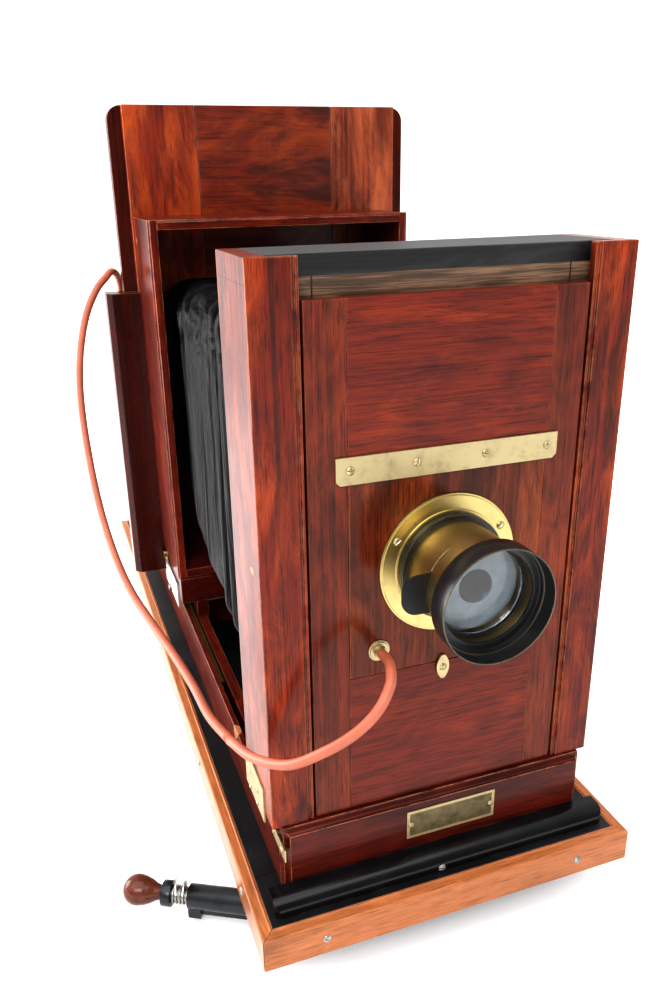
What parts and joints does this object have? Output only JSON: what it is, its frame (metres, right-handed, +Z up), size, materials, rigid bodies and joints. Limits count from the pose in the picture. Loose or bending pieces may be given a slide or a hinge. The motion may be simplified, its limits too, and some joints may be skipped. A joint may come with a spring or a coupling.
{
  "type": "view camera",
  "caption": "Wooden studio view camera on a long table, with a brass portrait lens, air shutter and hose, soft bellows, racked rear carriage and a plate back that shifts both ways.",
  "frame": {"origin": "centre of the underside of the iron base plate under the table", "axes": "+Z up; the lens looks along -Y; +X is to the right of someone who faces the lens' front"},
  "size_m": [0.6187, 1.245, 0.911],
  "materials": {
    "mahogany": "aged satin varnish over dark red-brown grain",
    "dark_mahogany": "dark red varnish",
    "tan_wood": "worn orange-tan varnish",
    "bearer_wood": "plain oiled wood",
    "black_wood": "black paint, gloss on the bar and worn on the table",
    "knob_wood": "polished dark wood",
    "brass": "aged lacquered brass",
    "black_brass": "black enamel worn to brass at the edges",
    "nickel": "dull nickel plate",
    "steel": "bright turned steel",
    "screw_steel": "darkened steel",
    "iron": "black japanned iron",
    "lens_glass": "polished",
    "matt_glass": "ground on one side",
    "black_rubber": "hard black rubber",
    "bellows_leather": "black folded leather, rubbed grey on its folds",
    "hose_rubber": "terracotta rubber"
  },
  "bodies": {
    "stand_table": {"base_plate": "iron", "table_bearers": "bearer_wood", "table_boards": "black_wood", "table_edging": "tan_wood", "table_screws": "screw_steel", "stop_bar": "black_wood", "bed_sides": "mahogany", "bed_tracks": "mahogany", "focus_racks": "brass", "plinth": "dark_mahogany", "brass_plates": "brass", "brass_screws": "brass", "front_box_sides": "mahogany", "front_box_boards": "black_wood", "handle_housing": "iron", "handle_guards": "nickel", "handle_spring": "steel"},
    "lens_panel": {"panel_rails": "mahogany", "panel_boards": "mahogany", "lens_board": "mahogany", "board_strip": "brass", "panel_screws": "brass", "lens_flange": "brass", "lens_collar": "black_brass", "lens_barrel": "brass", "lens_hood": "black_brass", "front_lens": "lens_glass", "rear_lens": "lens_glass", "hose_nipple": "brass", "shutter_case": "black_wood", "shutter_cylinder": "brass", "hose_front": "hose_rubber"},
    "board_button": {"turn_button": "brass"},
    "loose_stop": {"waterhouse_stop": "black_brass"},
    "shutter_piston": {"shutter_piston": "steel"},
    "leaf_left": {"shutter_leaf_left": "black_rubber"},
    "leaf_right": {"shutter_leaf_right": "black_rubber"},
    "focus_carriage": {"carriage_base": "dark_mahogany", "side_plates": "nickel", "rear_box_sides": "mahogany", "rear_box_rails": "mahogany", "back_frame": "dark_mahogany", "crown_boards": "mahogany", "crown_backing": "dark_mahogany", "bellows": "bellows_leather", "hose_rear": "hose_rubber", "hose_coil": "hose_rubber", "squeeze_bulb": "hose_rubber"},
    "focus_pinion": {"focus_shaft": "steel", "focus_knob": "black_rubber"},
    "carriage_clamp": {"carriage_clamp": "brass"},
    "plate_riser": {"riser_frame": "mahogany"},
    "plate_shifter": {"shifter_frame": "mahogany"},
    "glass_frame": {"glass_frame": "mahogany", "ground_glass": "matt_glass"},
    "glass_latch": {"glass_latch": "brass"},
    "release_handle": {"handle_rod": "iron", "handle_grip": "knob_wood"}
  },
  "joints": [
    {"name": "panel_slide", "type": "slide", "parent": "stand_table", "child": "lens_panel", "axis": [0, 0, 1], "range_m": [0, 0.036], "deforming": ["hose_front"]},
    {"name": "button_turn", "type": "hinge", "parent": "lens_panel", "child": "board_button", "pos_m": [0, -0.5431, 0.334], "axis": [0, 1, 0], "range_deg": [-90, 90]},
    {"name": "stop_slide", "type": "slide", "parent": "lens_panel", "child": "loose_stop", "axis": [-1, 0, 0], "range_m": [0, 0.09]},
    {"name": "piston_rise", "type": "slide", "parent": "lens_panel", "child": "shutter_piston", "axis": [0, 0, 1], "range_m": [0, 0.02], "stiffness_N_per_m": 100, "springref_m": -0.01},
    {"name": "leaf_left_swing", "type": "hinge", "parent": "lens_panel", "child": "leaf_left", "pos_m": [-0.01, -0.4663, 0.386], "axis": [0, -1, 0], "range_deg": [0, 55.5]},
    {"name": "leaf_right_swing", "type": "hinge", "parent": "lens_panel", "child": "leaf_right", "pos_m": [0.014, -0.4646, 0.386], "axis": [0, 1, 0], "range_deg": [0, 55.5]},
    {"name": "focus_slide", "type": "slide", "parent": "stand_table", "child": "focus_carriage", "axis": [0, 1, 0], "range_m": [-0.2, 0.22], "deforming": ["bellows", "hose_rear"]},
    {"name": "focus_spin", "type": "hinge", "parent": "focus_carriage", "child": "focus_pinion", "pos_m": [0, 0.073, 0.171], "axis": [1, 0, 0], "range_deg": [-841, 765]},
    {"name": "clamp_turn", "type": "hinge", "parent": "focus_carriage", "child": "carriage_clamp", "pos_m": [-0.19, 0.106, 0.218], "axis": [-1, 0, 0], "range_deg": [0, 70]},
    {"name": "plate_rise", "type": "slide", "parent": "focus_carriage", "child": "plate_riser", "axis": [0, 0, 1], "range_m": [-0.06, 0.06]},
    {"name": "plate_shift", "type": "slide", "parent": "plate_riser", "child": "plate_shifter", "axis": [1, 0, 0], "range_m": [-0.03, 0.03]},
    {"name": "glass_swing", "type": "hinge", "parent": "plate_shifter", "child": "glass_frame", "pos_m": [0.018, 0.2039, 0.343], "axis": [-1, 0, 0], "range_deg": [0, 110]},
    {"name": "latch_turn", "type": "hinge", "parent": "plate_shifter", "child": "glass_latch", "pos_m": [-0.065, 0.2117, 0.564], "axis": [0, 1, 0], "range_deg": [0, 180]},
    {"name": "handle_press", "type": "slide", "parent": "stand_table", "child": "release_handle", "axis": [0.8746, -0.4848, 0], "range_m": [0, 0.007], "stiffness_N_per_m": 900, "springref_m": -0.006, "deforming": ["handle_spring"]}
  ],
  "couplings": [
    {"joint": "focus_spin", "follows": "focus_slide", "rad_per_m": -66.667},
    {"joint": "leaf_left_swing", "follows": "piston_rise", "rad_per_m": 48},
    {"joint": "leaf_right_swing", "follows": "piston_rise", "rad_per_m": 48}
  ]
}
